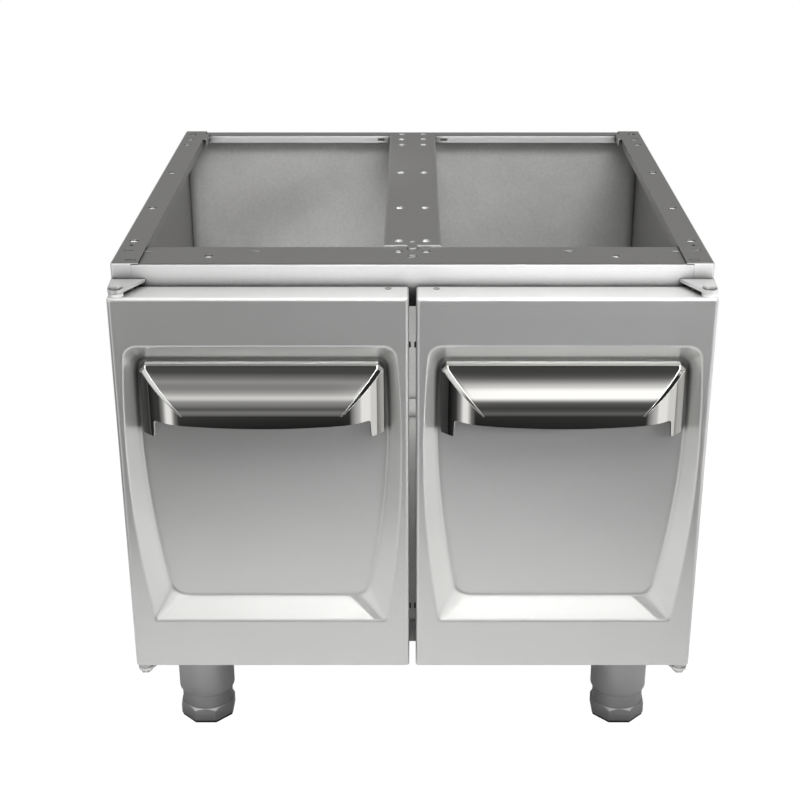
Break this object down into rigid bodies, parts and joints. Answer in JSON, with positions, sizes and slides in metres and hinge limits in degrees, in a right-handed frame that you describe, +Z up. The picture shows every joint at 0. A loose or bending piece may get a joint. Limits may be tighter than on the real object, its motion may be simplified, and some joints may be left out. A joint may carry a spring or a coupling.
{
  "type": "kitchen base cabinet",
  "caption": "Low steel base cabinet with an open perforated top frame, two pressed-recess doors with hood handles on pivot hinges, and levelling legs with octagonal feet.",
  "frame": {"origin": "on the floor, in the middle of the width and of the whole depth with the handles", "axes": "+X to the right seen from the front, +Y to the back, +Z up"},
  "size_m": [0.6, 0.604, 0.6],
  "materials": {
    "body_steel": "satin sheet",
    "door_steel": "fine ground sheet",
    "mirror_steel": "mirror polished",
    "bright_steel": "bright rolled plate",
    "leg_metal": "satin",
    "zinc_plate": "zinc plated",
    "rubber": "matt",
    "catch_plastic": "moulded",
    "nylon": "moulded"
  },
  "bodies": {
    "carcass": {"side_panel_left": "body_steel", "side_panel_right": "body_steel", "back_panel": "body_steel", "floor_pan": "body_steel", "front_rail": "body_steel", "rear_rail": "body_steel", "center_rail": "body_steel", "leg_channel_front": "body_steel", "leg_channel_rear": "body_steel", "leg_sleeve_front_left": "leg_metal", "leg_sleeve_front_right": "leg_metal", "leg_sleeve_rear_left": "leg_metal", "leg_sleeve_rear_right": "leg_metal", "leg_bolts": "zinc_plate", "hinge_bracket_upper_left": "bright_steel", "hinge_bracket_upper_right": "bright_steel", "hinge_bracket_lower_left": "bright_steel", "hinge_bracket_lower_right": "bright_steel", "hinge_pin_upper_left": "zinc_plate", "hinge_pin_upper_right": "zinc_plate", "hinge_pin_lower_left": "zinc_plate", "hinge_pin_lower_right": "zinc_plate", "bracket_screws": "zinc_plate", "magnet_catch_left": "catch_plastic", "magnet_catch_right": "catch_plastic"},
    "door_left": {"door_skin_left": "door_steel", "door_liner_left": "body_steel", "handle_left": "mirror_steel", "handle_rivets_left": "zinc_plate", "liner_rivets_left": "door_steel", "pivot_plates_left": "zinc_plate", "hinge_bush_upper_left": "nylon", "hinge_bush_lower_left": "nylon", "strike_plate_left": "zinc_plate", "door_buffers_left": "rubber"},
    "door_right": {"door_skin_right": "door_steel", "door_liner_right": "body_steel", "handle_right": "mirror_steel", "handle_rivets_right": "zinc_plate", "liner_rivets_right": "door_steel", "pivot_plates_right": "zinc_plate", "hinge_bush_upper_right": "nylon", "hinge_bush_lower_right": "nylon", "strike_plate_right": "zinc_plate", "door_buffers_right": "rubber"},
    "foot_assembly_front_left": {"foot_front_left": "leg_metal", "foot_pad_front_left": "rubber"},
    "foot_assembly_front_right": {"foot_front_right": "leg_metal", "foot_pad_front_right": "rubber"},
    "foot_assembly_rear_left": {"foot_rear_left": "leg_metal", "foot_pad_rear_left": "rubber"},
    "foot_assembly_rear_right": {"foot_rear_right": "leg_metal", "foot_pad_rear_right": "rubber"}
  },
  "joints": [
    {"name": "door_left_swing", "type": "hinge", "parent": "carcass", "child": "door_left", "pos_m": [-0.2905, -0.282, 0.365], "axis": [0, 0, -1], "range_deg": [0, 110]},
    {"name": "door_right_swing", "type": "hinge", "parent": "carcass", "child": "door_right", "pos_m": [0.2905, -0.282, 0.365], "axis": [0, 0, 1], "range_deg": [0, 110]},
    {"name": "foot_front_left_level", "type": "slide", "parent": "carcass", "child": "foot_assembly_front_left", "axis": [0, 0, -1], "range_m": [0, 0.05]},
    {"name": "foot_front_right_level", "type": "slide", "parent": "carcass", "child": "foot_assembly_front_right", "axis": [0, 0, -1], "range_m": [0, 0.05]},
    {"name": "foot_rear_left_level", "type": "slide", "parent": "carcass", "child": "foot_assembly_rear_left", "axis": [0, 0, -1], "range_m": [0, 0.05]},
    {"name": "foot_rear_right_level", "type": "slide", "parent": "carcass", "child": "foot_assembly_rear_right", "axis": [0, 0, -1], "range_m": [0, 0.05]}
  ]
}
